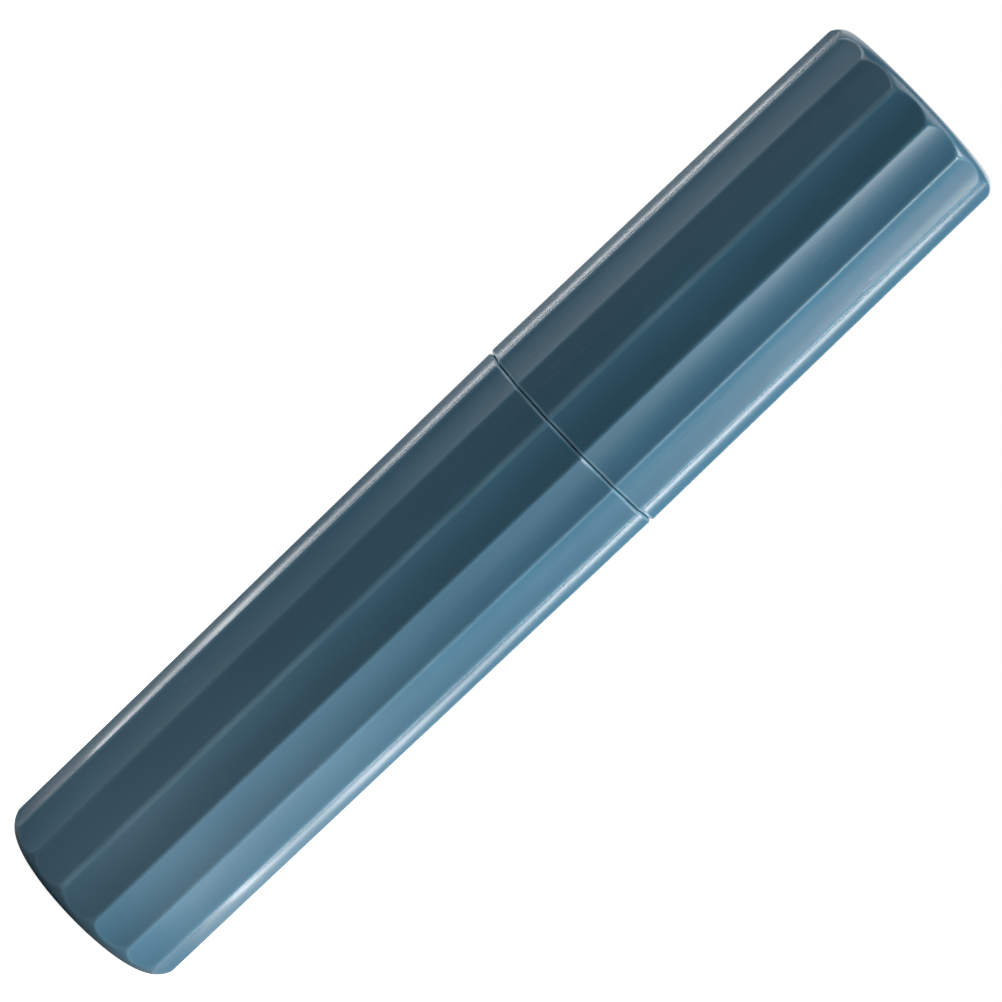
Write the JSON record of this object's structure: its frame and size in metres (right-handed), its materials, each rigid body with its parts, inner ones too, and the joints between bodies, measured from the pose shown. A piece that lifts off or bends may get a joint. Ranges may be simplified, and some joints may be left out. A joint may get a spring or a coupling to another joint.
{
  "type": "toothbrush travel cup case",
  "caption": "Slim upright tube with shallow flutes that carries a toothbrush: a long cup with a smooth liner, and a shorter push-on lid that slides over the cup's neck and seals on a ring.",
  "frame": {"origin": "centre of the base, on the plane that the case stands on", "axes": "+Z along the case's axis from the cup's base to the lid's top, -Y faces the middle of a flute"},
  "size_m": [0.0412, 0.0411, 0.205],
  "materials": {
    "casing": "satin moulded plastic, dusty teal blue",
    "liner": "smooth moulded plastic, darker blue",
    "seal": "soft silicone, grey blue"
  },
  "bodies": {
    "cup": {"cup_casing": "casing", "cup_liner": "liner"},
    "seal": {"neck_seal": "seal"},
    "lid": {"lid_casing": "casing", "lid_liner": "liner"}
  },
  "joints": [
    {"name": "lid_turn", "type": "hinge", "parent": "cup", "child": "seal", "pos_m": [0, 0, 0.13], "axis": [0, 0, 1], "continuous": true},
    {"name": "lid_pull", "type": "slide", "parent": "seal", "child": "lid", "axis": [0, 0, 1], "range_m": [0, 0.1]}
  ]
}
